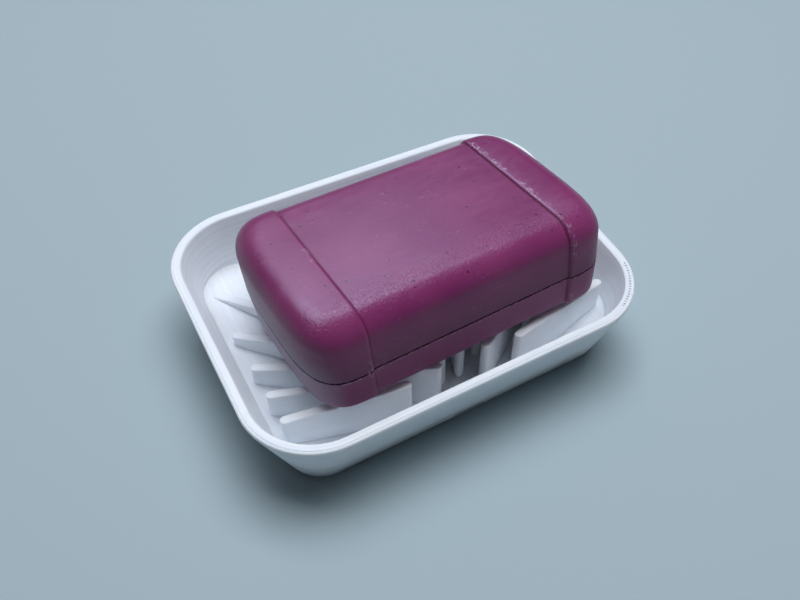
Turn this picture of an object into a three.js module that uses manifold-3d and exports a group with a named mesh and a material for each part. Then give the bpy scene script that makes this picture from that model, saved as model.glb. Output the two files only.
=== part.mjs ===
// A self-draining soap dish with its bar of soap, in millimetres, +Z up.
// The origin is on the surface that the dish stands on, under the middle of the dish.
// +X runs along the dish, and the drain is at the front, towards -Y.
// The dish is one print: a flared tray, a raised floor that falls to the drain, and a fan of ribs
// whose tops lean back, so that the bar lies on them and sheds its water into the channels.

import * as THREE from 'three';
import { mergeVertices } from 'three/addons/utils/BufferGeometryUtils.js';
import Module from 'manifold-3d';

const wasm = await Module();
wasm.setup();

// Tray: outside sizes of the rim, and how the wall runs down to the base.
const RIM_LENGTH = 120;
const RIM_WIDTH = 91;
const RIM_CORNER_RADIUS = 21;
const TRAY_HEIGHT = 27.4;
const RIM_BAND_HEIGHT = 1.4;
const WALL_FLARE = 8.65;
const BASE_CORNER_RADIUS = 10.5;
const RIM_LAND_WIDTH = 2.8;
const WALL_THICKNESS = 2.3;
const BASE_THICKNESS = 1.6;

// Floor and drain: the floor falls from both ends to a valley along the middle, and the valley
// falls a little to the drain. The floor's height is given at the middle of the dish.
const VALLEY_HEIGHT = 4;
const VALLEY_FALL = 0.016;
const FLOOR_FALL = 0.157;
const FLOOR_BLOCK_TOP = 15;
const DRAIN_Y = -37;
const DRAIN_WIDTH = 11;
const DRAIN_DEPTH = 7;
const DRAIN_NOTCH_HEIGHT = 3;

// Ribs: a fan about the drain. Their tops share one plane that falls towards the back.
const RIB_COUNT = 16;
const RIB_THICKNESS = 2.8;
const RIB_TOP_HEIGHT = 17.5;
const RIB_TOP_SLOPE = 0.17;
const RIB_REACH_X = 51;
const RIB_REACH_BACK = 32;
const RIB_REACH_SHARPNESS = 24;
const SHORT_RIB_START = 27;
const LONG_RIB_STARTS = { 1: 18.2, 3: 9.2, 5: 18.2, 7: 11.4 };

// Bar of soap: two raised end caps, a lower band between them, a parting line half-way up.
const SOAP_LENGTH = 92.4;
const SOAP_WIDTH = 59;
const SOAP_HEIGHT = 30.2;
const SOAP_BAND_LENGTH = 62;
const SOAP_STEP = 0.75;
const SOAP_PARTING_HEIGHT = 12.6;
const SOAP_LOWER_DRAFT = 0.07;
const SOAP_END_ROUNDNESS = 3.75;
const SOAP_TOP_EDGE = { inward: 7.2, upward: 7.6, roundness: 2 };
const SOAP_BOTTOM_EDGE = { inward: 12.5, upward: 3.5, roundness: 2 };
const SOAP_CENTRE_X = 2.7;
const SOAP_CENTRE_Y = -6.3;
const SOAP_TURN = THREE.MathUtils.degToRad(2.2);

// Clearance between neighbouring solids, and the fineness of round stretches.
const GAP = 0.3;
const CORNER_STEPS = 8;
const RIB_END_STEPS = 6;
const SOAP_END_STEPS = 18;
const SOAP_EDGE_STEPS = 7;

// A cutting solid runs past what it cuts by the margin, or by BIG where it has no end.
const CUT_MARGIN = 10;
const BIG = 400;

const plasticWhite = { color: 0xe6ebee, roughness: 0.55, metalness: 0 };
const soapPlum = { color: 0x7a3f70, roughness: 0.4, metalness: 0 };

// Solids and booleans

function toSolid(geometry) {
  const bare = geometry.clone();
  bare.deleteAttribute('normal');
  bare.deleteAttribute('uv');
  const merged = mergeVertices(bare, 1e-4);
  const vertProperties = new Float32Array(merged.attributes.position.array);
  const triVerts = new Uint32Array(merged.index.array);
  return new wasm.Manifold(new wasm.Mesh({ numProp: 3, vertProperties, triVerts }));
}

function toGeometry(solid) {
  const mesh = solid.getMesh();
  const geometry = new THREE.BufferGeometry();
  geometry.setAttribute('position', new THREE.BufferAttribute(new Float32Array(mesh.vertProperties), 3));
  geometry.setIndex(new THREE.BufferAttribute(new Uint32Array(mesh.triVerts), 1));
  return geometry;
}

function boxSolid(low, high) {
  const size = new THREE.Vector3().subVectors(high, low);
  const centre = new THREE.Vector3().addVectors(low, high).multiplyScalar(0.5);
  const geometry = new THREE.BoxGeometry(size.x, size.y, size.z);
  return toSolid(geometry.translate(centre.x, centre.y, centre.z));
}

// A closed skin over a stack of rings that have the same number of points, lowest ring first.
function loft(rings) {
  const count = rings[0].length;
  const positions = rings.flat().flatMap((point) => [point.x, point.y, point.z]);
  const triangles = [];
  for (let level = 0; level + 1 < rings.length; level += 1) {
    for (let i = 0; i < count; i += 1) {
      const next = (i + 1) % count;
      const low = level * count;
      const high = low + count;
      triangles.push(low + i, low + next, high + next);
      triangles.push(low + i, high + next, high + i);
    }
  }
  const top = (rings.length - 1) * count;
  for (let i = 1; i + 1 < count; i += 1) {
    triangles.push(0, i + 1, i);
    triangles.push(top, top + i, top + i + 1);
  }
  const geometry = new THREE.BufferGeometry();
  geometry.setAttribute('position', new THREE.Float32BufferAttribute(positions, 3));
  geometry.setIndex(triangles);
  return geometry;
}

// Tray shell

function roundedRectangle(length, width, radius, z) {
  const ring = [];
  const corners = [[1, 1], [-1, 1], [-1, -1], [1, -1]];
  corners.forEach(([sideX, sideY], quarter) => {
    for (let step = 0; step <= CORNER_STEPS; step += 1) {
      const angle = (quarter + step / CORNER_STEPS) * Math.PI / 2;
      const x = sideX * (length / 2 - radius) + radius * Math.cos(angle);
      const y = sideY * (width / 2 - radius) + radius * Math.sin(angle);
      ring.push(new THREE.Vector3(x, y, z));
    }
  });
  return ring;
}

const BAND_BOTTOM = TRAY_HEIGHT - RIM_BAND_HEIGHT;

// Outline of the tray's outer face at a height, drawn in by an amount all round.
function trayOutline(z, drawnIn) {
  const share = Math.max(0, 1 - z / BAND_BOTTOM);
  const inset = WALL_FLARE * share + drawnIn;
  const radius = RIM_CORNER_RADIUS + (BASE_CORNER_RADIUS - RIM_CORNER_RADIUS) * share - drawnIn;
  return roundedRectangle(RIM_LENGTH - 2 * inset, RIM_WIDTH - 2 * inset, radius, z);
}

// The drain's way out, from a little behind the front wall, up to a height.
function drainCut(top) {
  const low = new THREE.Vector3(-DRAIN_WIDTH / 2, -BIG, -BIG);
  const high = new THREE.Vector3(DRAIN_WIDTH / 2, DRAIN_Y + DRAIN_DEPTH, top);
  return boxSolid(low, high);
}

function trayShell() {
  const outside = toSolid(loft([
    trayOutline(0, 0),
    trayOutline(BAND_BOTTOM, 0),
    trayOutline(TRAY_HEIGHT, 0),
  ]));
  const mouth = trayOutline(TRAY_HEIGHT, RIM_LAND_WIDTH);
  const inside = toSolid(loft([
    trayOutline(BASE_THICKNESS, WALL_THICKNESS),
    trayOutline(FLOOR_BLOCK_TOP, WALL_THICKNESS),
    mouth,
    mouth.map((point) => point.clone().setZ(TRAY_HEIGHT + CUT_MARGIN)),
  ]));
  return toGeometry(outside.subtract(inside).subtract(drainCut(DRAIN_NOTCH_HEIGHT)));
}

// Drain floor

// Everything above the floor's two slopes, or above slopes that lie higher by an amount.
function aboveFloor(raise) {
  const outline = new THREE.Shape();
  outline.moveTo(0, 0);
  outline.lineTo(BIG, BIG * FLOOR_FALL);
  outline.lineTo(BIG, BIG);
  outline.lineTo(-BIG, BIG);
  outline.lineTo(-BIG, BIG * FLOOR_FALL);
  const wedge = new THREE.ExtrudeGeometry(outline, { depth: BIG, bevelEnabled: false });
  wedge.translate(0, 0, -BIG / 2);
  wedge.rotateX(Math.PI / 2 + Math.atan(VALLEY_FALL));
  wedge.translate(0, 0, VALLEY_HEIGHT + raise);
  return toSolid(wedge);
}

function drainFloor() {
  const bottom = BASE_THICKNESS + GAP;
  const block = toSolid(loft([
    trayOutline(bottom, WALL_THICKNESS + GAP),
    trayOutline(FLOOR_BLOCK_TOP, WALL_THICKNESS + GAP),
  ]));
  return toGeometry(block.subtract(aboveFloor(0)).subtract(drainCut(BIG)));
}

// Ribs

// Everything under the plane of the rib tops.
function underRibTops() {
  const slab = new THREE.BoxGeometry(BIG, BIG, BIG);
  slab.translate(0, 0, -BIG / 2);
  slab.rotateX(-Math.atan(RIB_TOP_SLOPE));
  slab.translate(0, 0, RIB_TOP_HEIGHT);
  return toSolid(slab);
}

// How far a rib runs from the drain before it stops short of the side or the back wall.
function ribReach(angle) {
  const toSide = RIB_REACH_X / Math.abs(Math.cos(angle));
  const toBack = (RIB_REACH_BACK - DRAIN_Y) / Math.sin(angle);
  const p = RIB_REACH_SHARPNESS;
  return (toSide ** -p + toBack ** -p) ** (-1 / p);
}

// Every second rib stops short, so that the channels stay open where the fan draws together.
// Places count from either side wall, because the fan is the same left and right.
function ribStart(place) {
  const fromSide = Math.min(place, RIB_COUNT + 1 - place);
  return LONG_RIB_STARTS[fromSide] ?? SHORT_RIB_START;
}

function rib(place) {
  const angle = Math.PI * place / (RIB_COUNT + 1);
  const radius = RIB_THICKNESS / 2;
  const start = ribStart(place);
  const end = ribReach(angle) - radius;
  const outline = new THREE.Shape();
  outline.absarc(end, 0, radius, -Math.PI / 2, Math.PI / 2, false);
  outline.absarc(start, 0, radius, Math.PI / 2, Math.PI * 1.5, false);
  const settings = { depth: TRAY_HEIGHT, bevelEnabled: false, curveSegments: RIB_END_STEPS };
  const bar = new THREE.ExtrudeGeometry(outline, settings);
  bar.rotateZ(angle);
  bar.translate(0, DRAIN_Y, 0);
  const clearance = GAP * Math.hypot(1, FLOOR_FALL);
  return toGeometry(toSolid(bar).intersect(underRibTops()).intersect(aboveFloor(clearance)));
}

// Bar of soap, built lying flat with its underside at z = 0 and then laid on the ribs

// Plan of the bar: straight along the band, then a bowed end with soft corners.
function soapOutline(drawnIn, z) {
  const bandHalf = SOAP_BAND_LENGTH / 2;
  const endDepth = SOAP_LENGTH / 2 - bandHalf - drawnIn;
  const halfWidth = SOAP_WIDTH / 2 - drawnIn;
  const power = 2 / SOAP_END_ROUNDNESS;
  const ring = [];
  for (const side of [1, -1]) {
    for (let step = 0; step <= SOAP_END_STEPS; step += 1) {
      const angle = -Math.PI / 2 + Math.PI * step / SOAP_END_STEPS;
      const along = Math.abs(Math.cos(angle)) ** power * endDepth;
      const across = Math.sign(Math.sin(angle)) * Math.abs(Math.sin(angle)) ** power * halfWidth;
      ring.push(new THREE.Vector3(side * (bandHalf + along), side * across, z));
    }
  }
  return ring;
}

// Rings from the parting line to one face: up the side, then drawn in along a rounded edge.
function soapHalf(edge, rise, draft, drawnIn) {
  const rings = [soapOutline(drawnIn, SOAP_PARTING_HEIGHT)];
  const side = Math.abs(rise) - edge.upward;
  const power = 2 / edge.roundness;
  for (let step = 0; step <= SOAP_EDGE_STEPS; step += 1) {
    const angle = (step / SOAP_EDGE_STEPS) * Math.PI / 2;
    const inset = draft * side + edge.inward * (1 - Math.abs(Math.cos(angle)) ** power);
    const height = side + edge.upward * Math.sin(angle) ** power;
    rings.push(soapOutline(inset + drawnIn, SOAP_PARTING_HEIGHT + Math.sign(rise) * height));
  }
  return rings;
}

function soapBody(drawnIn) {
  const upperRise = SOAP_HEIGHT - SOAP_PARTING_HEIGHT - drawnIn;
  const lowerRise = drawnIn - SOAP_PARTING_HEIGHT;
  const upper = soapHalf(SOAP_TOP_EDGE, upperRise, 0, drawnIn);
  const lower = soapHalf(SOAP_BOTTOM_EDGE, lowerRise, SOAP_LOWER_DRAFT, drawnIn);
  return toSolid(loft([...lower.slice(1).reverse(), ...upper]));
}

function soapBar() {
  const low = new THREE.Vector3(-SOAP_BAND_LENGTH / 2, -BIG, -BIG);
  const high = new THREE.Vector3(SOAP_BAND_LENGTH / 2, BIG, BIG);
  const middle = boxSolid(low, high);
  const caps = soapBody(0).subtract(middle);
  return toGeometry(caps.add(soapBody(SOAP_STEP)));
}

// Assembly

function addPart(parent, name, geometry, finish) {
  const mesh = new THREE.Mesh(geometry, new THREE.MeshStandardMaterial(finish));
  mesh.name = name;
  parent.add(mesh);
  return mesh;
}

const soapDish = new THREE.Group();
addPart(soapDish, 'tray_shell', trayShell(), plasticWhite);
addPart(soapDish, 'drain_floor', drainFloor(), plasticWhite);
for (let place = 1; place <= RIB_COUNT; place += 1) {
  addPart(soapDish, `rib_${String(place).padStart(2, '0')}`, rib(place), plasticWhite);
}

const soapSeat = new THREE.Group();
const seatHeight = RIB_TOP_HEIGHT - RIB_TOP_SLOPE * SOAP_CENTRE_Y;
const seatGap = GAP * Math.hypot(1, RIB_TOP_SLOPE);
soapSeat.position.set(SOAP_CENTRE_X, SOAP_CENTRE_Y, seatHeight + seatGap);
soapSeat.rotation.x = -Math.atan(RIB_TOP_SLOPE);
const soap = addPart(soapSeat, 'soap_bar', soapBar(), soapPlum);
soap.rotation.z = SOAP_TURN;
soapDish.add(soapSeat);

export default soapDish;
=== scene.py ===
# %% [markdown]
# # A self-draining soap dish with its bar of soap
# The dish is one print in white plastic: a flared tray, a raised floor that falls to the middle and
# to a drain in the front, and a fan of ribs whose tops lean to the back. A plum bar of soap lies on
# the ribs.
# Each piece below takes the place of its solid in the fixed frame, so sizes are in millimetres of
# that frame, and every length is turned into metres where it meets Blender.

# %% Load the frame
import math
from functools import partial

import bmesh
import bpy
from mathutils import Matrix, Vector


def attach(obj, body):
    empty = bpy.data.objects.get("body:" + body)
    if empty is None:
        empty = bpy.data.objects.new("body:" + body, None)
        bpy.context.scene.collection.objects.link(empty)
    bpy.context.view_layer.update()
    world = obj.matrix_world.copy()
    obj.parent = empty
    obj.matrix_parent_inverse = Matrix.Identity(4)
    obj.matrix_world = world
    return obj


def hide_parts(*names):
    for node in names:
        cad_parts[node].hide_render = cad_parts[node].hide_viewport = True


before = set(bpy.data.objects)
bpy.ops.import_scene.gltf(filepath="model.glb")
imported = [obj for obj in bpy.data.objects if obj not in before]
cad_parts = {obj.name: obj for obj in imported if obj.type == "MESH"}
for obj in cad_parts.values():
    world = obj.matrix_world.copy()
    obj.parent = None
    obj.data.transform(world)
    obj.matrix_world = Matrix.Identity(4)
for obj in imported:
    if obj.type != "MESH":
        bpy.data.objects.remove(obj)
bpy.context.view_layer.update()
MM = 0.001

# %% [markdown]
# ## Working in edit mode
# An operator works on whatever is selected, as it does under the mouse. These helpers start a
# piece with nothing else selected, pick points, edges or faces by where they are, and close the
# piece at the end. Picking by place is steadier than by number, because numbers change with each
# bevel or cut.

# %% Start, pick and finish
MERGE_REACH = 0.001 * MM
SHARP_ANGLE = 35


def hold(piece):
    """Makes a piece the active one and leaves nothing else selected."""
    bpy.ops.object.select_all(action="DESELECT")
    piece.select_set(True)
    bpy.context.view_layer.objects.active = piece


def start_piece(name):
    """A new empty mesh object, alone in the selection and in edit mode."""
    piece = bpy.data.objects.new(name, bpy.data.meshes.new(name))
    bpy.context.scene.collection.objects.link(piece)
    hold(piece)
    bpy.ops.object.mode_set(mode="EDIT")
    return piece


def pick(kind, test):
    """In edit mode, selects the VERT, EDGE or FACE elements that pass a test, and counts them."""
    bpy.ops.mesh.select_mode(type=kind)
    bpy.ops.mesh.select_all(action="DESELECT")
    mesh = bpy.context.edit_object.data
    shape = bmesh.from_edit_mesh(mesh)
    elements = {"VERT": shape.verts, "EDGE": shape.edges, "FACE": shape.faces}[kind]
    picked = [element for element in elements if test(element)]
    for element in picked:
        element.select_set(True)
    shape.select_flush_mode()
    bmesh.update_edit_mesh(mesh)
    return len(picked)


def cut_across(axis, places):
    """Adds edges straight across everything at these places along an axis, in millimetres."""
    for place in places:
        bpy.ops.mesh.select_all(action="SELECT")
        spot = Vector(axis) * place * MM
        bpy.ops.mesh.bisect(plane_co=spot, plane_no=axis, threshold=MERGE_REACH)


def finish_piece(piece, sharp_angle=SHARP_ANGLE):
    """Merges doubled points, turns the faces outwards, and shades all but the sharp edges smooth."""
    bpy.ops.mesh.select_all(action="SELECT")
    bpy.ops.mesh.remove_doubles(threshold=MERGE_REACH)
    bpy.ops.mesh.normals_make_consistent(inside=False)
    bpy.ops.object.mode_set(mode="OBJECT")
    bpy.ops.object.shade_smooth_by_angle(angle=math.radians(sharp_angle))
    size = [round(side / MM, 1) for side in piece.dimensions]
    print(piece.name, "has", len(piece.data.polygons), "faces and measures", size, "mm")


def stand_for(piece, body, slot, *nodes):
    """The piece moves with a body of the frame and is shown in place of these solids."""
    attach(piece, body)
    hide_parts(*nodes)


# %% [markdown]
# ## The tray's outline
# Seen from above, the tray is a rectangle with round corners, and the wall flares, so that the
# outline grows and its corners get rounder on the way up. Scaling one outline can't do that. Each
# level is therefore its own plane with its four corners rounded by a point bevel, and the levels
# are bridged. The profile across the wall is a short list of corners, each with its own rounding.

# %% Sizes of the tray
RIM_LENGTH, RIM_WIDTH, RIM_CORNER = 120, 91, 21
TRAY_HEIGHT, BAND_BOTTOM = 27.4, 26.0
WALL_FLARE, CORNER_LOSS = 8.65, 1.85
WALL_BEND = 11.2
CORNER_STEPS = 14
RING_POINTS = 4 * (CORNER_STEPS + 1)


def rounded_profile(corners, steps=4):
    """Rounds a bent line of (inset, height, radius) corners into a list of (inset, height).

    The first and the last corner only give the direction in which the line starts and ends.
    """
    points = []
    for before, corner, after in zip(corners, corners[1:], corners[2:]):
        place, radius = Vector(corner[:2]), corner[2]
        to_before = (Vector(before[:2]) - place).normalized()
        to_after = (Vector(after[:2]) - place).normalized()
        half = to_before.angle(to_after) / 2
        if radius == 0:
            points.append(place)
            continue
        centre = place + (to_before + to_after).normalized() * (radius / math.sin(half))
        first = place + to_before * (radius / math.tan(half)) - centre
        last = place + to_after * (radius / math.tan(half)) - centre
        for step in range(steps + 1):
            points.append(centre + first.slerp(last, step / steps) * radius)
    return points


def add_outline(inset, height):
    """Adds one level of the tray in edit mode: a plane with round corners, without its face."""
    corner = RIM_CORNER - inset - CORNER_LOSS * max(0, 1 - height / BAND_BOTTOM)
    bpy.ops.mesh.primitive_plane_add(size=1, location=(0, 0, height * MM))
    length, width = (RIM_LENGTH - 2 * inset) * MM, (RIM_WIDTH - 2 * inset) * MM
    bpy.ops.transform.resize(value=(length, width, 1))
    bpy.ops.mesh.bevel(offset=corner * MM, segments=CORNER_STEPS, affect="VERTICES")
    bpy.ops.mesh.delete(type="ONLY_FACE")


def bridge_levels(profile):
    """Builds the skin over a profile, level by level, and closes both ends with a face."""
    for level, (inset, height) in enumerate(profile):
        add_outline(inset, height)
        if level > 0:
            pick("VERT", lambda v: v.index >= (level - 1) * RING_POINTS)
            bpy.ops.mesh.bridge_edge_loops()
    for level in (0, len(profile) - 1):
        ring = range(level * RING_POINTS, (level + 1) * RING_POINTS)
        pick("VERT", lambda v: v.index in ring)
        bpy.ops.mesh.edge_face_add()


# %% [markdown]
# ## Tray shell
# The real tray is a thin wall with a flat rim and a small upright band round it. The profile runs
# from under the base, up the outside, over the rim and down the inside. The outermost pass of the
# rim lies a hair lower than the others, which draws a fine line round it. Rounding the corners of
# the profile gives the soft edges of a print, without a bevel that would have to cross the round
# corners of the plan.

# %% Model the tray shell
# Each corner is an inset from the rim's outline, a height and a rounding. Neighbouring levels need
# different heights, because a bridge between two rings in one plane would twist.
EDGE_DROP, OUTER_PASS_DROP = 0.12, 0.16
RIM_FALL, RIM_INSIDE, SHELL_BOTTOM = 0.05, 2.8, 1.6

base_and_band = [
    (13.0, 0.0, 0), (WALL_FLARE, 0.0, 0.5),
    (0.0, BAND_BOTTOM, 0.6), (0.0, TRAY_HEIGHT - EDGE_DROP, 0.5),
]
rim = [
    (0.8, TRAY_HEIGHT - OUTER_PASS_DROP, 0), (0.9, TRAY_HEIGHT, 0),
    (RIM_INSIDE, TRAY_HEIGHT - RIM_FALL, 0.6),
]
inside = [(7.22, WALL_BEND, 0), (10.4, SHELL_BOTTOM, 0.6), (14.0, SHELL_BOTTOM, 0)]
tray_profile = rounded_profile(base_and_band + rim + inside)
tray = start_piece("Tray")
bridge_levels(tray_profile)
finish_piece(tray)

# %% [markdown]
# ## A ruler along the surface
# The nozzle lays the wall down in passes that follow the outline: as layers up the wall, and side
# by side across the rim. A UV map in metres carries that: its first value runs round the tray and
# its second along the profile, so one stripe pattern gives both, and stays true round the corners.

# %% Measure the tray's surface into a UV map


def lay_ruler(piece, profile):
    """Writes a UV map in metres: round the outline, as at the rim, and along the profile."""
    points = piece.data.vertices
    rings = []
    for level in range(len(profile)):
        ring = range(level * RING_POINTS, (level + 1) * RING_POINTS)
        rings.append(sorted(ring, key=lambda i: math.atan2(points[i].co.y, points[i].co.x)))
    widest = rings[profile.index(min(profile, key=lambda place: place[0]))]
    steps = [0.0]
    for here, after in zip(widest, widest[1:] + widest[:1]):
        steps.append(steps[-1] + (points[after].co - points[here].co).length)
    around = {index: step for ring in rings for index, step in zip(ring, steps)}
    along = [0.0]
    for a, b in zip(profile, profile[1:]):
        along.append(along[-1] + (b - a).length * MM)
    ruler = piece.data.uv_layers.new(name="ruler")
    for face in piece.data.polygons:
        sides = [around[i] for i in face.vertices]
        wraps = max(sides) - min(sides) > steps[-1] / 2
        for corner, index, side in zip(face.loop_indices, face.vertices, sides):
            lap = steps[-1] if wraps and side < steps[-1] / 2 else 0.0
            ruler.data[corner].uv = (side + lap, along[index // RING_POINTS])
    return steps[-1], along


tray_round, tray_along = lay_ruler(tray, tray_profile)
print("once round the rim:", round(tray_round / MM), "mm")

# %% [markdown]
# The straight sides are still single faces from corner to corner, and the soft edges along the rim
# are strips a hundred times longer than wide. Smooth shading goes wrong on such slivers, so a few
# cuts across the tray break them up without changing the shape.

# %% Break up the long strips
ALONG_X, ALONG_Y = (1, 0, 0), (0, 1, 0)
bpy.ops.object.mode_set(mode="EDIT")
cut_across(ALONG_X, range(-36, 37, 9))
cut_across(ALONG_Y, range(-21, 22, 7))
bpy.ops.object.mode_set(mode="OBJECT")
print("tray faces after the cuts:", len(tray.data.polygons))

# %% [markdown]
# ## Drain notch
# Water leaves through a low notch at the foot of the front wall and through a slot behind it. On
# the print the notch is an arch, because a flat roof would sag, and a thin sill is left below it.
# Cutters with round corners are modelled from a plane and taken away with a Boolean modifier, which
# keeps the ruler of the wall around them.

# %% Cut the drain notch
DRAIN_Y, DRAIN_WIDTH, DRAIN_DEPTH = -37.0, 11.0, 7.0
NOTCH_SILL, NOTCH_TOP, NOTCH_ROUND = 0.8, 3.6, 1.35
SLOT_FRONT, SLOT_BACK = -34.9, DRAIN_Y + DRAIN_DEPTH
FAR_FRONT = -60


def drain_cutter(low, high, rounding, front, back):
    """A block as wide as the drain, with round corners, from front to back."""
    cutter = start_piece("Drain_cutter")
    middle = (0, front * MM, (low + high) / 2 * MM)
    bpy.ops.mesh.primitive_plane_add(size=1, rotation=(math.pi / 2, 0, 0), location=middle)
    bpy.ops.transform.resize(value=(DRAIN_WIDTH * MM, 1, (high - low) * MM))
    bpy.ops.mesh.bevel(offset=rounding * MM, segments=8, affect="VERTICES")
    reach = (0, (back - front) * MM, 0)
    bpy.ops.mesh.extrude_region_move(TRANSFORM_OT_translate={"value": reach})
    finish_piece(cutter)
    return cutter


def cut_away(piece, cutter):
    """Takes a cutter's shape out of a piece, keeps the new edges crisp, and removes the cutter."""
    hold(piece)
    cut = piece.modifiers.new("cut", "BOOLEAN")
    cut.operation, cut.solver, cut.object = "DIFFERENCE", "EXACT", cutter
    bpy.ops.object.modifier_apply(modifier=cut.name)
    bpy.ops.object.shade_smooth_by_angle(angle=math.radians(SHARP_ANGLE))
    bpy.data.objects.remove(cutter)
    print(piece.name, "now has", len(piece.data.polygons), "faces")


cut_away(tray, drain_cutter(NOTCH_SILL, NOTCH_TOP, NOTCH_ROUND, FAR_FRONT, SLOT_BACK - 2))
cut_away(tray, drain_cutter(low=-5, high=3, rounding=0.5, front=SLOT_FRONT, back=SLOT_BACK))
stand_for(tray, "dish", "printed_plastic", "tray_shell")

# %% [markdown]
# ## Drain floor
# The floor is the raised bottom inside the tray. From both ends it falls to a valley along the
# middle, and the valley falls a little to the drain. It starts as a block that fills the tray and
# reaches a hair into the wall, so that no gap shows, and a wedge with the two slopes takes its top
# away. The wedge is a plane, cut in the middle, with its ends raised, and then extruded up.

# %% Cut a block to the two slopes
FLOOR_BLOCK = [(9.6, 1.9), (5.4, 16.0)]
VALLEY_HEIGHT, VALLEY_FALL, FLOOR_FALL = 4.0, 0.016, 0.157
WEDGE_HALF, WEDGE_WIDTH, WEDGE_RISE = 70.0, 120.0, 30.0

dish_floor = start_piece("Drain_floor")
bridge_levels(FLOOR_BLOCK)
finish_piece(dish_floor)

wedge = start_piece("Slope_cutter")
bpy.ops.mesh.primitive_plane_add(size=1, location=(0, 0, VALLEY_HEIGHT * MM))
bpy.ops.transform.resize(value=(2 * WEDGE_HALF * MM, WEDGE_WIDTH * MM, 1))
cut_across(ALONG_X, (0,))
pick("VERT", lambda v: abs(v.co.x / MM) > 1)
bpy.ops.transform.translate(value=(0, 0, WEDGE_HALF * FLOOR_FALL * MM))
pick("VERT", lambda v: v.co.y > 0)
bpy.ops.transform.translate(value=(0, 0, WEDGE_WIDTH / 2 * VALLEY_FALL * MM))
pick("VERT", lambda v: v.co.y < 0)
bpy.ops.transform.translate(value=(0, 0, -WEDGE_WIDTH / 2 * VALLEY_FALL * MM))
bpy.ops.mesh.select_all(action="SELECT")
bpy.ops.mesh.extrude_region_move(TRANSFORM_OT_translate={"value": (0, 0, WEDGE_RISE * MM)})
finish_piece(wedge)
cut_away(dish_floor, wedge)

# %% [markdown]
# The nozzle can't lay a sharp inner corner, so the floor sweeps up into the wall. An inset gives a
# strip along the wall, its outer points are raised, and the strip's inner edge is rounded. Cuts
# beside the valley, and a narrow margin inset into each large face, keep smooth shading from
# spreading over the flat slopes.

# %% Sweep the floor up into the wall
COVE_WIDTH, COVE_RISE, COVE_ROUND = 3.0, 1.1, 1.3
VALLEY_HALF, FLAT_MARGIN = 4, 0.4
LARGE_FACE = 200 * MM * MM
# A face looks up if its normal's height is over the first value, and aside if under the second.
LOOKS_UP, LOOKS_ASIDE = 0.95, 0.7
ABOVE_UNDERSIDE = 2.5 * MM


def is_slope(face):
    return face.normal.z > LOOKS_UP and face.calc_center_median().z > ABOVE_UNDERSIDE


def on_rim_of_floor(vert):
    upward = [face.normal.z for face in vert.link_faces]
    return max(upward) > LOOKS_UP and min(upward) < LOOKS_ASIDE and vert.co.z > ABOVE_UNDERSIDE


def is_cove_edge(edge):
    """An edge between the floor and the raised strip: bent, and not the valley's own edge."""
    if len(edge.link_faces) < 2 or min(face.normal.z for face in edge.link_faces) < 0.6:
        return False
    return edge.calc_face_angle() > 0.2 and all(abs(v.co.x / MM) > 0.5 for v in edge.verts)


hold(dish_floor)
bpy.ops.object.mode_set(mode="EDIT")
cut_across(ALONG_X, (-VALLEY_HALF, VALLEY_HALF))
print("slopes:", pick("FACE", is_slope))
bpy.ops.mesh.inset(thickness=COVE_WIDTH * MM, depth=0)
print("points raised at the wall:", pick("VERT", on_rim_of_floor))
bpy.ops.transform.translate(value=(0, 0, COVE_RISE * MM))
print("edges of the cove:", pick("EDGE", is_cove_edge))
bpy.ops.mesh.bevel(offset=COVE_ROUND * MM, segments=4, affect="EDGES")
pick("FACE", lambda face: is_slope(face) and face.calc_area() > LARGE_FACE)
bpy.ops.mesh.inset(thickness=FLAT_MARGIN * MM, depth=0)
finish_piece(dish_floor)

# %% [markdown]
# At the front, the floor stops short of the wall, so that water can fall through the slot to the
# notch. The cutter of the notch, made taller, opens the floor there.

# %% Open the floor at the drain
cut_away(dish_floor, drain_cutter(low=-10, high=30, rounding=1.5, front=FAR_FRONT, back=SLOT_BACK))
stand_for(dish_floor, "dish", "printed_plastic", "drain_floor")

# %% [markdown]
# ## Ribs
# Sixteen upright ribs fan out from the drain and hold the bar clear of the water. Every second one
# starts further out, so that the channels stay open at the drain. Each has round ends, and all tops
# lie in one plane that leans to the back. A rib starts as a plane with fully rounded corners, is
# extruded up, swung about the drain, cut off along the leaning plane, and gets a soft upper edge.
# Cutting after the swing is simpler than leaning each top by its own angle. The rib runs down into
# the floor, because on the print both are one.

# %% Sizes of the ribs
RIB_COUNT, RIB_THICKNESS = 16, 2.8
RIB_TOP, RIB_SLOPE = 17.5, 0.17
RIB_REACH_X, RIB_REACH_BACK, RIB_REACH_SHARPNESS = 51.0, 32.0, 24
SHORT_START, LONG_STARTS = 27.0, {1: 18.2, 3: 9.2, 5: 18.2, 7: 11.4}
RIB_STARTS = {place: LONG_STARTS.get(place, SHORT_START) for place in range(1, RIB_COUNT // 2 + 1)}
RIB_FOOT, RIB_EDGE, RIB_MARGIN = 2.2, 0.35, 0.45
lean = Vector((0, RIB_SLOPE, 1)).normalized()


def rib_span(place):
    """Where a rib begins and ends, measured from the drain, and its angle."""
    angle = math.pi * place / (RIB_COUNT + 1)
    to_side = RIB_REACH_X / abs(math.cos(angle))
    to_back = (RIB_REACH_BACK - DRAIN_Y) / math.sin(angle)
    sharp = RIB_REACH_SHARPNESS
    reach = (to_side ** -sharp + to_back ** -sharp) ** (-1 / sharp)
    return RIB_STARTS[place] - RIB_THICKNESS / 2, reach, angle


# %% Model one rib and measure its surface


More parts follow.
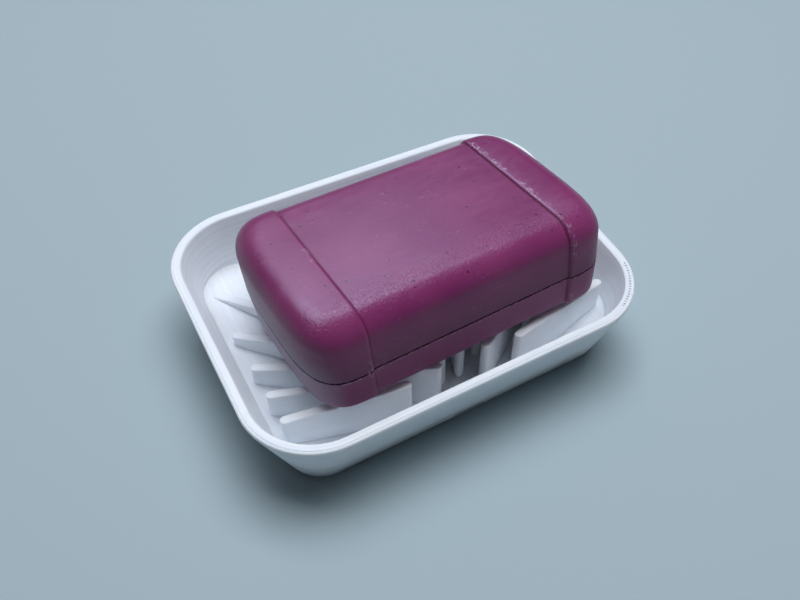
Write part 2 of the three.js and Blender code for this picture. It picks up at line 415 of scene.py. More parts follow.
def model_rib(place):
    """One rib of the right half of the fan, in its place."""
    first, last, angle = rib_span(place)
    rib = start_piece(f"Rib_{place:02d}")
    bpy.ops.mesh.primitive_plane_add(size=1, location=(0, 0, RIB_FOOT * MM))
    bpy.ops.transform.resize(value=((last - first) * MM, RIB_THICKNESS * MM, 1))
    bpy.ops.transform.translate(value=((first + last) / 2 * MM, 0, 0))
    bpy.ops.mesh.bevel(offset=RIB_THICKNESS / 2 * MM, segments=7, affect="VERTICES")
    bpy.ops.mesh.remove_doubles(threshold=MERGE_REACH)
    up = (0, 0, TRAY_HEIGHT * MM)
    bpy.ops.mesh.extrude_region_move(TRANSFORM_OT_translate={"value": up})
    cut_across(ALONG_X, range(math.ceil(first) + 3, math.floor(last) - 2, 5))
    bpy.ops.object.mode_set(mode="OBJECT")
    rib.rotation_euler.z = angle
    rib.location.y = DRAIN_Y * MM
    bpy.ops.object.transform_apply(location=True, rotation=True, scale=False)
    bpy.ops.object.mode_set(mode="EDIT")
    bpy.ops.mesh.select_all(action="SELECT")
    bpy.ops.mesh.bisect(
        plane_co=(0, 0, RIB_TOP * MM), plane_no=lean, use_fill=True, clear_outer=True,
        threshold=MERGE_REACH,
    )
    pick("FACE", lambda f: f.normal.dot(lean) > 0.99)
    bpy.ops.mesh.region_to_loop()
    bpy.ops.mesh.bevel(offset=RIB_EDGE * MM, segments=3, affect="EDGES")
    for _ in range(2):
        pick("FACE", lambda f: f.normal.dot(lean) > 0.999 and len(f.verts) > 8)
        bpy.ops.mesh.inset(thickness=RIB_MARGIN * MM, depth=0)
    finish_piece(rib)
    return rib


def lay_rib_ruler(rib, place):
    """A UV map in metres: along the rib, and up its side and then in from its edge."""
    first, last, angle = rib_span(place)
    ahead = Vector((math.cos(angle), math.sin(angle), 0))
    aside = Vector((-math.sin(angle), math.cos(angle), 0))
    hub = Vector((0, DRAIN_Y * MM, 0))
    half = RIB_THICKNESS / 2 * MM
    ruler = rib.data.uv_layers.new(name="ruler")
    for face in rib.data.polygons:
        for corner, index in zip(face.loop_indices, face.vertices):
            place_on = rib.data.vertices[index].co - hub
            along, across = place_on.dot(ahead), place_on.dot(aside)
            past = max(first * MM + half - along, along - last * MM + half, 0)
            inwards = half - math.hypot(past, across)
            ruler.data[corner].uv = (along, place_on.z + inwards)


# %% [markdown]
# The fan is the same left and right, so each rib of the right half is copied with its own mesh and
# mirrored across the middle. A mirror turns a mesh inside out, so the copy's faces are turned back.

# %% Set out the fan


def mirrored(rib, name):
    """A copy with its own mesh on the other side of the dish."""
    copy = rib.copy()
    copy.data = rib.data.copy()
    copy.name = copy.data.name = name
    bpy.context.scene.collection.objects.link(copy)
    hold(copy)
    copy.scale.x = -1
    bpy.ops.object.transform_apply(location=False, rotation=False, scale=True)
    bpy.ops.object.mode_set(mode="EDIT")
    bpy.ops.mesh.select_all(action="SELECT")
    bpy.ops.mesh.normals_make_consistent(inside=False)
    bpy.ops.object.mode_set(mode="OBJECT")
    return copy


ribs = []
for place in RIB_STARTS:
    right = model_rib(place)
    lay_rib_ruler(right, place)
    other = RIB_COUNT + 1 - place
    left = mirrored(right, f"Rib_{other:02d}")
    ribs += [(right, place), (left, other)]
for rib, place in ribs:
    stand_for(rib, "dish", "printed_plastic", f"rib_{place:02d}")
print(len(ribs), "ribs in the fan")

# %% [markdown]
# ## Bar of soap
# The bar was pressed between two dies that met below the middle, which left the parting line. Its
# ends are raised caps, its middle a band that lies 0.75 mm lower. In plan each end is a squared-off
# oval: a bevel makes it on a squeezed rectangle whose end is as deep as it is wide, and a stretch
# across the bar then brings it to its width.

# %% Draw the bar's outline at the parting line
SOAP_LENGTH, SOAP_WIDTH, SOAP_HEIGHT = 92.4, 59.0, 30.2
BAND_HALF, BAND_STEP, PARTING_HEIGHT = 31.0, 0.75, 12.6
END_DEPTH, END_ROUNDNESS = SOAP_LENGTH / 2 - BAND_HALF, 3.75


def bevel_profile(roundness):
    """The bevel's profile value for a squared-off oval of that exponent, where 2 is a circle."""
    return 0.5 ** (2 / roundness)


soap = start_piece("Soap")
bpy.ops.mesh.primitive_plane_add(size=1, location=(0, 0, PARTING_HEIGHT * MM))
bpy.ops.transform.resize(value=(SOAP_LENGTH * MM, 2 * END_DEPTH * MM, 1))
bpy.ops.mesh.bevel(
    offset=END_DEPTH * MM, segments=22, profile=bevel_profile(END_ROUNDNESS), affect="VERTICES"
)
bpy.ops.mesh.remove_doubles(threshold=MERGE_REACH)
bpy.ops.transform.resize(value=(1, SOAP_WIDTH / (2 * END_DEPTH), 1))
bpy.ops.mesh.delete(type="ONLY_FACE")

# %% [markdown]
# From the parting line the sides go up and down in a row of extrusions: straight first, then along
# a worn edge. After each one the new ring is drawn in: across the bar about its middle, and along
# the bar about the foot of each cap, so that the band keeps its length. The upper edge is tight.
# The lower one is wide and shallow, so that the bar lies on a small face and dries.

# %% Raise the upper and the lower half
TOP_EDGE = {"inward": 7.2, "upward": 7.6}
BOTTOM_EDGE = {"inward": 12.5, "upward": 3.5}
LOWER_DRAFT = 0.07
SAME_LEVEL = 0.004


def edge_levels(edge, rise, draft, steps):
    """Insets and heights, from the parting line, along the side and round the edge."""
    side = rise - edge["upward"]
    levels = [(draft * side * part, side * part) for part in (0.33, 0.67, 1.0)]
    for step in range(1, steps + 1):
        angle = step / steps * math.pi / 2
        inset = edge["inward"] * (1 - math.cos(angle))
        levels.append((draft * side + inset, side + edge["upward"] * math.sin(angle)))
    return levels


def raise_half(levels, way):
    """Extrudes the outline from the parting line to one face, upwards or downwards."""
    pick("VERT", lambda v: abs(v.co.z / MM - PARTING_HEIGHT) < 0.01)
    inset, height = 0.0, 0.0
    for new_inset, new_height in levels:
        lift = (0, 0, way * (new_height - height) * MM)
        bpy.ops.mesh.extrude_edges_move(TRANSFORM_OT_translate={"value": lift})
        level = PARTING_HEIGHT + way * new_height
        across = (SOAP_WIDTH / 2 - new_inset) / (SOAP_WIDTH / 2 - inset)
        outward = (END_DEPTH - new_inset) / (END_DEPTH - inset)
        for side in (1, -1):
            pick("VERT", lambda v: v.co.x * side > 0 and abs(v.co.z / MM - level) < SAME_LEVEL)
            foot = (side * BAND_HALF * MM, 0, 0)
            bpy.ops.transform.resize(value=(outward, across, 1), center_override=foot)
        pick("VERT", lambda v: abs(v.co.z / MM - level) < SAME_LEVEL)
        inset, height = new_inset, new_height
    bpy.ops.mesh.edge_face_add()


raise_half(edge_levels(TOP_EDGE, SOAP_HEIGHT - PARTING_HEIGHT, 0, 14), 1)
raise_half(edge_levels(BOTTOM_EDGE, PARTING_HEIGHT, LOWER_DRAFT, 12), -1)
bpy.ops.mesh.select_all(action="SELECT")
bpy.ops.mesh.normals_make_consistent(inside=False)

# %% [markdown]
# The faces are cut at the feet of the caps, and in places between them, because long thin faces
# shade badly. The band's faces are then inset with a depth, which sinks them and leaves a leaning
# step, as the die needs to let go of the bar. The edge of each cap is rounded off last.

# %% Sink the band and round the caps
STEP_RUN, CAP_ROUND = 0.6, 0.5
cut_across(ALONG_X, (-BAND_HALF, BAND_HALF, *range(-24, 25, 6)))
cut_across(ALONG_Y, range(-15, 16, 3))


def is_band(face):
    return abs(face.calc_center_median().x / MM) < BAND_HALF - 2


print("faces of the band:", pick("FACE", is_band))
bpy.ops.mesh.inset(thickness=STEP_RUN * MM, depth=-BAND_STEP * MM)


def is_cap_edge(edge):
    return all(abs(abs(v.co.x / MM) - BAND_HALF) < 0.001 for v in edge.verts)


print("edges round the caps:", pick("EDGE", is_cap_edge))
bpy.ops.mesh.bevel(offset=CAP_ROUND * MM, segments=4, affect="EDGES")

# %% [markdown]
# The parting line is a fine groove. A bevel splits the edge along it into two strips, and the points
# between the strips are then pushed in along their normals, which works all the way round.

# %% Press in the parting line
GROOVE_HALF, GROOVE_DEPTH = 0.28, 0.45
SOAP_SHARP_ANGLE = 50


def is_parting(edge):
    return all(abs(v.co.z / MM - PARTING_HEIGHT) < 0.05 for v in edge.verts)


print("edges along the parting line:", pick("EDGE", is_parting))
bpy.ops.mesh.bevel(offset=GROOVE_HALF * MM, segments=2, affect="EDGES")
pick("VERT", lambda v: abs(v.co.z / MM - PARTING_HEIGHT) < 0.05)
bpy.ops.transform.shrink_fatten(value=-GROOVE_DEPTH * MM)
finish_piece(soap, SOAP_SHARP_ANGLE)

# %% [markdown]
# The bar was modelled flat, and now lies on the ribs: turned a little in the dish, leaning with
# the rib tops, and set down a hair above them. Setting the object's place and applying it moves
# the place into the mesh.

# %% Lay the bar on the ribs
SOAP_X, SOAP_Y, SOAP_TURN, SEAT_GAP = 2.7, -6.3, 2.2, 0.3
seat_height = RIB_TOP - RIB_SLOPE * SOAP_Y + SEAT_GAP * math.hypot(1, RIB_SLOPE)
seat = (
    Matrix.Translation(Vector((SOAP_X, SOAP_Y, seat_height)) * MM)
    @ Matrix.Rotation(-math.atan(RIB_SLOPE), 4, "X")
    @ Matrix.Rotation(math.radians(SOAP_TURN), 4, "Z")
)
soap.matrix_world = seat
bpy.ops.object.transform_apply(location=True, rotation=True, scale=True)
stand_for(soap, "soap", "soap", "soap_bar")

# %% [markdown]
# ## Finishes
# Colours are written as sRGB hex values, as a colour picker gives them, and turned to linear
# light. One function adds a node: what it is given is linked if it is a socket, and set if not.

# %% Colour and node helpers


def hex_colour(code):
    """An sRGB hex value as linear red, green, blue and full alpha."""
    channels = [int(code[i:i + 2], 16) / 255 for i in (1, 3, 5)]
    linear = [c / 12.92 if c <= 0.04045 else ((c + 0.055) / 1.055) ** 2.4 for c in channels]
    return (*linear, 1.0)


def add_node(material, kind, inputs, **settings):
    """Adds a node to a material, with its settings, and links or sets its inputs."""
    tree = material.node_tree
    node = tree.nodes.new("ShaderNode" + kind)
    for name, value in settings.items():
        setattr(node, name, value)
    for socket, value in inputs.items():
        if isinstance(value, bpy.types.NodeSocket):
            tree.links.new(value, node.inputs[socket])
        else:
            node.inputs[socket].default_value = value
    return node


def new_material(name):
    """An empty material with its Principled shader."""
    material = bpy.data.materials.new(name)
    material.use_nodes = True
    return material, material.node_tree.nodes["Principled BSDF"]


def finish_material(material, shader, linked, fixed):
    """Links sockets to the shader's inputs by name, and sets what is the same all over."""
    for name, socket in linked.items():
        material.node_tree.links.new(socket, shader.inputs[name])
    for name, value in fixed.items():
        shader.inputs[name].default_value = value
    print(material.name, "has", len(material.node_tree.nodes), "nodes")


# %% [markdown]
# ## White printed plastic
# The dish is PLA, laid down in beads of about 0.4 mm. It is matte and a little translucent, so
# that light goes a few millimetres in and the thin ribs seem to glow in the shade. The beads give
# fine lines along the outline, on the wall as on the rim. A stripe pattern on the ruler draws them,
# and because no two layers are quite alike, a noise that is drawn out along the outline lifts some.
# Modelled lines would need millions of faces, so these are left to colour and bump.

# %% Plastic laid in passes along the outline
# The real layers are 0.2 mm, finer than a pixel here, so they are drawn at the bead's width.
BEAD = 0.42 * MM
# At a scale of 1, the Wave texture repeats after these lengths, straight and on the diagonal.
WAVE_STEP, DIAGONAL_STEP = 0.314, 0.444
PLA = {
    "Roughness": 0.5, "IOR": 1.46, "Subsurface Weight": 0.5,
    "Subsurface Radius": (1.0, 1.0, 1.0), "Subsurface Scale": 2.5 * MM,
}

printed, plastic = new_material("white PLA, printed in outline passes")
put = partial(add_node, printed)
ruler = put("UVMap", {}, uv_map="ruler").outputs["UV"]
passes = put(
    "TexWave", {"Vector": ruler, "Scale": WAVE_STEP / BEAD, "Distortion": 1.2, "Detail": 2.0},
    bands_direction="Y",
).outputs["Fac"]
drawn_out = put("Mapping", {"Vector": ruler, "Scale": (0.02, 1.0, 1.0)}).outputs["Vector"]
layers = put(
    "TexNoise", {"Vector": drawn_out, "Scale": 1 / (2.2 * BEAD), "Detail": 3.0}
).outputs["Fac"]
where = put("TexCoord", {}).outputs["Object"]
grain = put("TexNoise", {"Vector": where, "Scale": 1 / (0.5 * MM), "Detail": 2.0}).outputs["Fac"]

# %% [markdown]
# At the dish's front right corner, the last passes left a row of pinholes on the flat rim. The ruler
# gives each point's place along the rim and across it. Its place along the rim, divided by the
# spacing, leaves a rest that starts again at every hole, so one round spot becomes a row, and a
# wobble keeps the row off a straight line.

# %% Pinholes on the rim
PINHOLE_SPACING, PINHOLE_INSET, PINHOLE_WOBBLE = 1.1 * MM, 0.5 * MM, 0.5 * MM
PINHOLE_PLACE, PINHOLE_REACH = 130 * MM, 9.5 * MM

rim_edge = max(tray_profile, key=lambda place: place[1])
rim_line = tray_along[tray_profile.index(rim_edge)] + PINHOLE_INSET
print("pinholes in mm along the profile:", round(rim_line / MM, 2))
split = put("SeparateXYZ", {"Vector": ruler})
wobble = put(
    "MapRange", {"Value": grain, "To Min": -PINHOLE_WOBBLE, "To Max": PINHOLE_WOBBLE}
).outputs["Result"]
off_line = put("Math", {0: split.outputs["Y"], 1: rim_line}, operation="SUBTRACT").outputs[0]
off_line = put("Math", {0: off_line, 1: wobble}, operation="ADD").outputs[0]
in_step = put(
    "Math", {0: split.outputs["X"], 1: PINHOLE_SPACING}, operation="MODULO"
).outputs[0]
in_step = put("Math", {0: in_step, 1: PINHOLE_SPACING / 2}, operation="SUBTRACT").outputs[0]
spot = put("CombineXYZ", {"X": in_step, "Y": off_line}).outputs["Vector"]
reach = put("VectorMath", {0: spot}, operation="LENGTH").outputs["Value"]
pinhole = put(
    "MapRange",
    {"Value": reach, "From Min": 0.18 * MM, "From Max": 0.4 * MM, "To Min": 1.0, "To Max": 0.0},
).outputs["Result"]
stretch = put(
    "Math", {0: split.outputs["X"], 1: PINHOLE_PLACE, 2: PINHOLE_REACH}, operation="COMPARE"
).outputs[0]
pinhole = put("Math", {0: pinhole, 1: stretch}, operation="MULTIPLY").outputs[0]

# %% Put the plastic together
tone = put("MapRange", {"Value": layers, "From Min": 0.35, "From Max": 0.65}).outputs["Result"]
tints = put(
    "Mix", {0: tone, 6: hex_colour("#e3eaf2"), 7: hex_colour("#f1f5fa")}, data_type="RGBA"
)
white = put(
    "Mix", {0: pinhole, 6: tints.outputs[2], 7: hex_colour("#8d98a6")}, data_type="RGBA"
).outputs[2]
height = put("Math", {0: passes, 1: 0.5, 2: layers}, operation="MULTIPLY_ADD").outputs[0]
height = put("Math", {0: grain, 1: 0.5, 2: height}, operation="MULTIPLY_ADD").outputs[0]
height = put("Math", {0: height, 1: pinhole}, operation="SUBTRACT").outputs[0]
relief = put("Bump", {"Strength": 0.4, "Distance": 0.05 * MM, "Height": height})
finish_material(printed, plastic, {"Base Color": white, "Normal": relief.outputs["Normal"]}, PLA)
tray.data.materials.append(printed)

# %% [markdown]
# A rib is only a few beads thick and its passes are short, so its sides come out smoother. It is the
# same plastic, so the material is copied, and only its lines are made weaker.

# %% Smoother plastic for the ribs
short_passes = printed.copy()
short_passes.name = "white PLA, short passes"
short_passes.node_tree.nodes[tints.name].inputs[6].default_value = hex_colour("#ebf1f7")
short_passes.node_tree.nodes[relief.name].inputs["Strength"].default_value = 0.12
for rib, _ in ribs:
    rib.data.materials.append(short_passes)
print("ribs in short passes:", len(ribs))

# %% [markdown]
# ## The floor's top layer
# A flat top is filled with beads side by side, at 45 degrees to the outline, so the floor shows a
# fine diagonal hatch. Where the cove rises into the wall, the layers show instead as contour lines.
# The height of a point gives these, and the direction its face looks in decides which of the two
# it shows.

# %% Hatched plastic
# The real hatch is 0.5 mm, two pixels wide here, so it is drawn a little coarser.
HATCH = 0.75 * MM
LAYER = 0.3 * MM

hatched, plastic = new_material("white PLA, hatched top layer")
put = partial(add_node, hatched)
where = put("TexCoord", {}).outputs["Object"]
hatch = put(
    "TexWave", {"Vector": where, "Scale": DIAGONAL_STEP / HATCH, "Distortion": 0.6, "Detail": 1.0},
    bands_direction="DIAGONAL",
).outputs["Fac"]
contours = put(
    "TexWave", {"Vector": where, "Scale": WAVE_STEP / LAYER}, bands_direction="Z"
).outputs["Fac"]
contours = put("MapRange", {"Value": contours, "To Min": 0.35, "To Max": 0.65}).outputs["Result"]
facing = put("NewGeometry", {}).outputs["Normal"]
upward = put("SeparateXYZ", {"Vector": facing}).outputs["Z"]
flat = put("MapRange", {"Value": upward, "From Min": 0.92, "From Max": 0.97}).outputs["Result"]
lines = put("Mix", {0: flat, 2: contours, 3: hatch}, data_type="FLOAT").outputs[0]
turned = put(
    "Mapping", {"Vector": where, "Rotation": (0, 0, math.pi / 4), "Scale": (1.0, 0.03, 1.0)}
).outputs["Vector"]
streaks = put(
    "TexNoise", {"Vector": turned, "Scale": 1 / (2 * HATCH), "Detail": 3.0}
).outputs["Fac"]
tone = put(
    "MapRange",
    {"Value": streaks, "From Min": 0.3, "From Max": 0.7, "To Min": 0.0, "To Max": 0.5},
).outputs["Result"]
tone = put("Math", {0: lines, 1: 0.5, 2: tone}, operation="MULTIPLY_ADD").outputs[0]
white = put(
    "Mix", {0: tone, 6: hex_colour("#e2e9f1"), 7: hex_colour("#f3f8fd")}, data_type="RGBA"
).outputs[2]
height = put("Math", {0: lines, 1: 0.6, 2: streaks}, operation="MULTIPLY_ADD").outputs[0]
bump = put("Bump", {"Strength": 0.6, "Distance": 0.06 * MM, "Height": height}).outputs["Normal"]
finish_material(hatched, plastic, {"Base Color": white, "Normal": bump}, PLA)
dish_floor.data.materials.append(hatched)

# %% [markdown]
# ## Plum soap
# Pressed soap is hard and waxy: even in colour, softly shiny, with light that goes a little way in.
# Use has left pits, scuffs, scratches, chalky cap edges, crumbs and drying marks. A painted picture
# could give them, but patterns in millimetres stay sharp from near and need no file. They belong to
# the bar, which lies askew, so a Mapping node first turns the coordinates back to the bar's own
# length, width and height.

# %% Where a point is on the bar
plum, wax = new_material("pressed plum soap, hand-worn")
put = partial(add_node, plum)
where = put("TexCoord", {}).outputs["Object"]
on_bar = put(
    "Mapping", {"Vector": where, "Location": seat.translation, "Rotation": seat.to_euler()},
    vector_type="TEXTURE",
).outputs["Vector"]
bar_x, bar_y, bar_z = put("SeparateXYZ", {"Vector": on_bar}).outputs
from_middle = put("Math", {0: bar_x}, operation="ABSOLUTE").outputs[0]
print("the bar lies at", [round(v / MM, 1) for v in seat.translation], "mm")

# %% [markdown]
# Along the parting line the bar has begun to split. The split is dark and wavers about the groove,
# closes here and there, and has pale crumbs just below it. Above it a band of painted shade darkens
# the side. The distance from a wavering height gives all of these.

# %% Parting line, its crumbs and the painted shade above it
waver = put("TexNoise", {"Vector": on_bar, "Scale": 1 / (1.6 * MM), "Detail": 4.0}).outputs["Fac"]
above_line = put(
    "Math", {0: waver, 1: 1.1 * MM, 2: -(PARTING_HEIGHT + 0.55) * MM}, operation="MULTIPLY_ADD"
).outputs[0]
above_line = put("Math", {0: bar_z, 1: above_line}, operation="ADD").outputs[0]
off_line = put("Math", {0: above_line}, operation="ABSOLUTE").outputs[0]
crack = put(
    "MapRange",
    {"Value": off_line, "From Min": 0.18 * MM, "From Max": 0.42 * MM, "To Min": 1.0, "To Max": 0.0},
).outputs["Result"]
specks = put("TexNoise", {"Vector": on_bar, "Scale": 1 / (0.8 * MM), "Detail": 3.0}).outputs["Fac"]
gaping = put("MapRange", {"Value": specks, "From Min": 0.36, "From Max": 0.46}).outputs["Result"]
crack = put("Math", {0: crack, 1: gaping}, operation="MULTIPLY").outputs[0]
beside = put(
    "Math", {0: above_line, 1: -0.42 * MM, 2: 0.2 * MM}, operation="COMPARE"
).outputs[0]
crumbs = put("MapRange", {"Value": specks, "From Min": 0.5, "From Max": 0.58}).outputs["Result"]
crumbs = put("Math", {0: crumbs, 1: beside}, operation="MULTIPLY").outputs[0]
# Painted shade: the side just above the seam is darkened in the colour, fading out upwards.
painted_seam_shade = put(
    "MapRange",
    {"Value": above_line, "From Min": 1 * MM, "From Max": 8 * MM, "To Min": 0.45, "To Max": 0.0},
).outputs["Result"]
over = put("Math", {0: above_line, 1: 0.0}, operation="GREATER_THAN").outputs[0]
painted_seam_shade = put("Math", {0: painted_seam_shade, 1: over}, operation="MULTIPLY").outputs[0]

# %% [markdown]
# The upper face has pits, where air was pressed into the soap: one in some of the cells of a Voronoi
# pattern, each of its own size. Scuffs are a noise drawn out along the way the bar is rubbed, and
# only in patches. A scratch is where another noise has its middle value, which is a thin winding line.

# %% Pits, scuffs and scratches
PIT_SPACING, PATCH_SIZE = 4.6 * MM, 9 * MM

upper = put(
    "MapRange", {"Value": bar_z, "From Min": 25.0 * MM, "From Max": 28.0 * MM}
).outputs["Result"]
cells = put("TexVoronoi", {"Vector": on_bar, "Scale": 1 / PIT_SPACING}, voronoi_dimensions="2D")
chance, fineness, _ = put("SeparateColor", {"Color": cells.outputs["Color"]}).outputs
fineness = put("MapRange", {"Value": fineness, "To Min": 0.8, "To Max": 2.6}).outputs["Result"]
reach = put(
    "Math", {0: cells.outputs["Distance"], 1: fineness}, operation="MULTIPLY"
).outputs[0]
pit = put(
    "MapRange",
    {"Value": reach, "From Min": 0.05, "From Max": 0.11, "To Min": 1.0, "To Max": 0.0},
).outputs["Result"]
chosen = put("MapRange", {"Value": chance, "From Min": 0.5, "From Max": 0.75}).outputs["Result"]
pit = put("Math", {0: pit, 1: chosen}, operation="MULTIPLY").outputs[0]
pit = put("Math", {0: pit, 1: upper}, operation="MULTIPLY").outputs[0]
strokes = put(
    "Mapping", {"Vector": on_bar, "Rotation": (0, 0, 0.35), "Scale": (0.3, 1.0, 1.0)}
).outputs["Vector"]
scuff = put(
    "TexNoise", {"Vector": strokes, "Scale": 1 / (1.1 * MM), "Detail": 4.0, "Distortion": 1.6}
).outputs["Fac"]
scuff = put("MapRange", {"Value": scuff, "From Min": 0.6, "From Max": 0.8}).outputs["Result"]
patches = put("TexNoise", {"Vector": on_bar, "Scale": 1 / PATCH_SIZE, "Detail": 2.0}).outputs["Fac"]
rubbed = put("MapRange", {"Value": patches, "From Min": 0.5, "From Max": 0.64}).outputs["Result"]
scuff = put("Math", {0: scuff, 1: rubbed}, operation="MULTIPLY").outputs[0]
scuff = put("Math", {0: scuff, 1: 0.35}, operation="MULTIPLY").outputs[0]
wander = put("Mapping", {"Vector": on_bar, "Scale": (0.5, 1.0, 1.0)}).outputs["Vector"]
wander = put("TexNoise", {"Vector": wander, "Scale": 1 / (4 * MM), "Detail": 3.0}).outputs["Fac"]
scratch = put("Math", {0: wander, 1: 0.5, 2: 0.006}, operation="COMPARE").outputs[0]
few = put("MapRange", {"Value": scuff, "From Min": 0.0, "From Max": 0.05}).outputs["Result"]
scratch = put("Math", {0: scratch, 1: few}, operation="MULTIPLY").outputs[0]
scratch = put("Math", {0: scratch, 1: 0.5}, operation="MULTIPLY").outputs[0]
scuff = put("Math", {0: scratch, 1: scuff}, operation="MAXIMUM").outputs[0]

# %% [markdown]
# The caps stand proud, so their edges are rubbed to a chalky white in places. At the foot of the
# step beside them a dark red painted shade lies in the crease. Both are bands at a known distance from
# the bar's middle.

# %% Worn cap edges and the painted shade at the foot of the step
edge = put(
    "Math", {0: from_middle, 1: (BAND_HALF + 0.6) * MM, 2: 0.8 * MM}, operation="COMPARE"
).outputs[0]
along_edge = put("Mapping", {"Vector": on_bar, "Scale": (1.0, 0.5, 0.5)}).outputs["Vector"]
chalk = put(
    "TexNoise", {"Vector": along_edge, "Scale": 1 / (0.5 * MM), "Detail": 2.0}
).outputs["Fac"]
chalk = put("MapRange", {"Value": chalk, "From Min": 0.5, "From Max": 0.62}).outputs["Result"]
worn = put("MapRange", {"Value": patches, "From Min": 0.57, "From Max": 0.63}).outputs["Result"]
chalk = put("Math", {0: chalk, 1: worn}, operation="MULTIPLY").outputs[0]
chalk = put("Math", {0: chalk, 1: edge}, operation="MULTIPLY").outputs[0]
# Painted shade: a dark red band in the crease at the foot of the step beside each cap.
off_foot = put(
    "Math", {0: from_middle, 1: (BAND_HALF - STEP_RUN - 0.05) * MM}, operation="SUBTRACT"
).outputs[0]
off_foot = put("Math", {0: off_foot}, operation="ABSOLUTE").outputs[0]
foot = put(
    "MapRange",
    {"Value": off_foot, "From Min": 0.12 * MM, "From Max": 0.5 * MM, "To Min": 0.6, "To Max": 0.0},
).outputs["Result"]

# %% [markdown]
# Water that dried along the upper front edge has left it slightly pitted; place decides where this
# shows, and a noise breaks the marks up. Low on the left end a grey-blue painted reflection of the
# pale floor is laid into the colour, by place alone.

# %% Drying marks along the front edge
across = put("Mapping", {"Vector": on_bar, "Scale": (1.0, 0.6, 0.6)}).outputs["Vector"]
marks = put(
    "TexNoise", {"Vector": across, "Scale": 1 / (0.6 * MM), "Detail": 4.0, "Distortion": 1.0}
).outputs["Fac"]
marks = put("MapRange", {"Value": marks, "From Min": 0.48, "From Max": 0.6}).outputs["Result"]
front = put(
    "MapRange", {"Value": bar_y, "From Min": -15 * MM, "From Max": -23 * MM}
).outputs["Result"]
front = put("Math", {0: front, 1: upper}, operation="MULTIPLY").outputs[0]
marks = put("Math", {0: marks, 1: front}, operation="MULTIPLY").outputs[0]

# %% Painted reflection low on the left end
# Painted reflection: a grey-blue band low on the left end, where the pale floor is mirrored in the
# side.
left_end = put(
    "MapRange", {"Value": bar_x, "From Min": -38 * MM, "From Max": -45 * MM}
).outputs["Result"]
low = put(
    "MapRange",
    {"Value": bar_z, "From Min": 11 * MM, "From Max": 20 * MM, "To Min": 0.3, "To Max": 0.0},
).outputs["Result"]
painted_floor_reflection = put("Math", {0: left_end, 1: low}, operation="MULTIPLY").outputs[0]

# %% [markdown]
# The colours are laid over each other from the broad to the small: the plum with its faint clouds,
# then the painted shade at the step's foot and above the seam and the painted reflection on the left
# end, then the pale marks, then the dark ones. The same marks give the bump. The upper face is wiped
# smooth in places, so there the roughness changes.

# %% Lay the soap's colours over each other
bloom = put("TexNoise", {"Vector": on_bar, "Scale": 1 / (22 * MM), "Detail": 5.0}).outputs["Fac"]
bloom = put("MapRange", {"Value": bloom, "From Min": 0.35, "From Max": 0.65}).outputs["Result"]
colour = put(
    "Mix", {0: bloom, 6: hex_colour("#7a2a5f"), 7: hex_colour("#873869")}, data_type="RGBA"
).outputs[2]
# Painted shade at the foot of each cap's step.
colour = put("Mix", {0: foot, 6: colour, 7: hex_colour("#5c1238")}, data_type="RGBA").outputs[2]
# Painted shade above the seam.
colour = put("Mix", {0: painted_seam_shade, 6: colour, 7: hex_colour("#401631")}, data_type="RGBA").outputs[2]
# Painted reflection of the floor on the left end.
colour = put("Mix", {0: painted_floor_reflection, 6: colour, 7: hex_colour("#b4bacb")}, data_type="RGBA").outputs[2]
pale = put("Math", {0: scuff, 1: chalk}, operation="MAXIMUM").outputs[0]
pale = put("Math", {0: pale, 1: crumbs}, operation="MAXIMUM").outputs[0]
pale = put("Math", {0: pale, 1: 0.6}, operation="MULTIPLY").outputs[0]
colour = put("Mix", {0: pale, 6: colour, 7: hex_colour("#c8a6c3")}, data_type="RGBA").outputs[2]
dark = put("Math", {0: pit, 1: crack}, operation="MAXIMUM").outputs[0]
dark = put("Math", {0: dark, 1: 0.85}, operation="MULTIPLY").outputs[0]
colour = put("Mix", {0: dark, 6: colour, 7: hex_colour("#2a0d22")}, data_type="RGBA").outputs[2]
print("nodes of the soap so far:", len(plum.node_tree.nodes))

# %% Give the soap its gloss and relief
SIDE_ROUGHNESS = 0.4

wiped = put("Mapping", {"Vector": on_bar, "Scale": (0.35, 1.0, 1.0)}).outputs["Vector"]
wiped = put(
    "TexNoise", {"Vector": wiped, "Scale": 1 / (3 * MM), "Detail": 6.0, "Distortion": 1.5}
).outputs["Fac"]
gloss = put(
    "MapRange",
    {"Value": wiped, "From Min": 0.3, "From Max": 0.7, "To Min": 0.4, "To Max": 0.28},
).outputs["Result"]
gloss = put("Mix", {0: upper, 2: SIDE_ROUGHNESS, 3: gloss}, data_type="FLOAT").outputs[0]
grain = put(
    "TexNoise", {"Vector": strokes, "Scale": 1 / (1.2 * MM), "Detail": 4.0}
).outputs["Fac"]
height = put("Math", {0: specks, 1: 0.5, 2: grain}, operation="MULTIPLY_ADD").outputs[0]
height = put("Math", {0: height, 1: 0.5}, operation="MULTIPLY").outputs[0]
height = put("Math", {0: marks, 1: -0.8, 2: height}, operation="MULTIPLY_ADD").outputs[0]
height = put("Math", {0: dark, 1: -0.6, 2: height}, operation="MULTIPLY_ADD").outputs[0]
height = put("Math", {0: pale, 1: 0.8, 2: height}, operation="MULTIPLY_ADD").outputs[0]
bump = put("Bump", {"Strength": 0.6, "Distance": 0.08 * MM, "Height": height}).outputs["Normal"]
waxy = {
    "IOR": 1.45, "Specular IOR Level": 0.48, "Subsurface Weight": 0.05,
    "Subsurface Radius": (1.0, 0.35, 0.7), "Subsurface Scale": 2 * MM,
}
finish_material(plum, wax, {"Base Color": colour, "Roughness": gloss, "Normal": bump}, waxy)
soap.data.materials.append(plum)

# %% [markdown]
# ## Stage, light and camera
# The dish stands on a plain matte sheet, so that its soft shadow shows. The sheet is one large plane
# and isn't part of the dish.

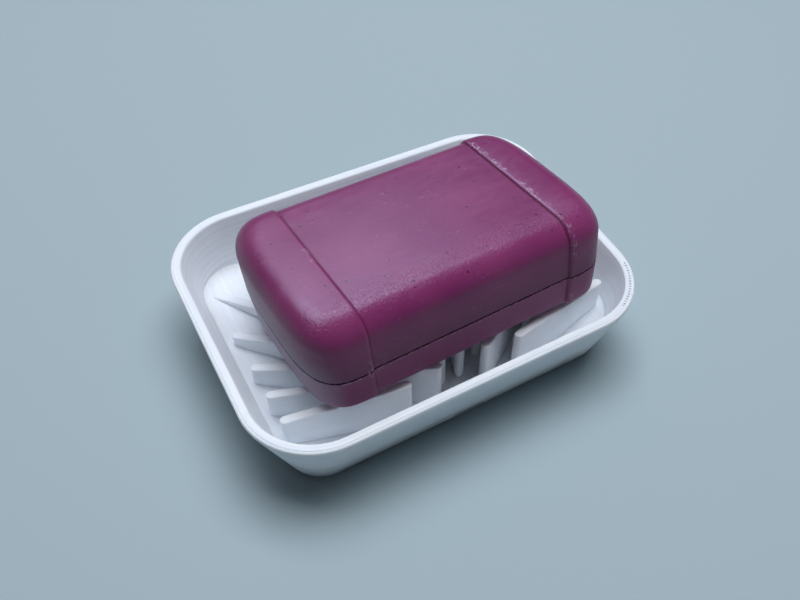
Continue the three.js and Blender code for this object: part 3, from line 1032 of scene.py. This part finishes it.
# %% Pale sheet
bpy.ops.object.select_all(action="DESELECT")
bpy.ops.mesh.primitive_plane_add(size=6)
ground = bpy.context.object
ground.name = "Ground"
sheet, paper = new_material("pale grey sheet")
finish_material(sheet, paper, {}, {"Base Color": hex_colour("#a9bac0"), "Roughness": 0.9})
ground.data.materials.append(sheet)

# %% [markdown]
# A large soft light above lights the dish and leaves the bar's front in shade, and a weak even light
# fills in from all sides. The sheen on the bar comes from further back, as from a window. Moving the
# first light there would darken the front too far, so a second softbox is only mirrored in the bar
# and lights nothing.

# %% Soft light
SOFTBOXES = (
    # name, place and sizes in metres, power in watts, tint, lights the dish, is mirrored in it
    ("Softbox_above", (0.16, 0.13, 1.0), (0.8, 0.6), 11.2, "#f4f8ff", True, False),
    ("Softbox_behind", (-0.1, 0.61, 0.78), (1.0, 0.6), 15.5, "#d3e2ff", False, True),
)

world = bpy.data.worlds.new("even light")
bpy.context.scene.world = world
world.use_nodes = True
sky = world.node_tree.nodes["Background"]
sky.inputs["Color"].default_value = hex_colour("#f2f7fc")
sky.inputs["Strength"].default_value = 0.06

for name, place, sizes, power, tint, lights_dish, is_mirrored in SOFTBOXES:
    bpy.ops.object.light_add(type="AREA", location=place)
    softbox = bpy.context.object
    softbox.name = name
    softbox.data.shape, softbox.data.energy = "RECTANGLE", power
    softbox.data.size, softbox.data.size_y = sizes
    softbox.data.color = hex_colour(tint)[:3]
    softbox.visible_diffuse, softbox.visible_glossy = lights_dish, is_mirrored
    softbox.rotation_euler = (-softbox.location).to_track_quat("-Z", "Y").to_euler()
    print(name, "gives", power, "W")

# %% [markdown]
# The camera stands where the photograph was taken from. It was found by fitting a camera to the rim,
# the base line and the upright edges of the ribs. It looks down from the front left, a little rolled.
# The shift gives the photograph's framing without turning the camera.

# %% Camera
CAMERA_PLACE = (-0.0700, -0.1417, 0.2044)
AZIMUTH, ELEVATION, ROLL = -37.58, 52.0, 7.29
LENS, SENSOR, SHIFT = 36.29, 36, (-0.13375, 0.03125)

bpy.ops.object.camera_add()
camera = bpy.context.object
camera.data.lens, camera.data.sensor_width = LENS, SENSOR
camera.data.shift_x, camera.data.shift_y = SHIFT
camera.data.clip_start = 10 * MM
camera.matrix_world = (
    Matrix.Translation(CAMERA_PLACE)
    @ Matrix.Rotation(math.radians(AZIMUTH), 4, "Z")
    @ Matrix.Rotation(math.radians(90 - ELEVATION), 4, "X")
    @ Matrix.Rotation(math.radians(ROLL), 4, "Z")
)
bpy.context.scene.camera = camera
bpy.context.scene.view_settings.view_transform = "Standard"
print("camera at", [round(v / MM) for v in CAMERA_PLACE], "mm")
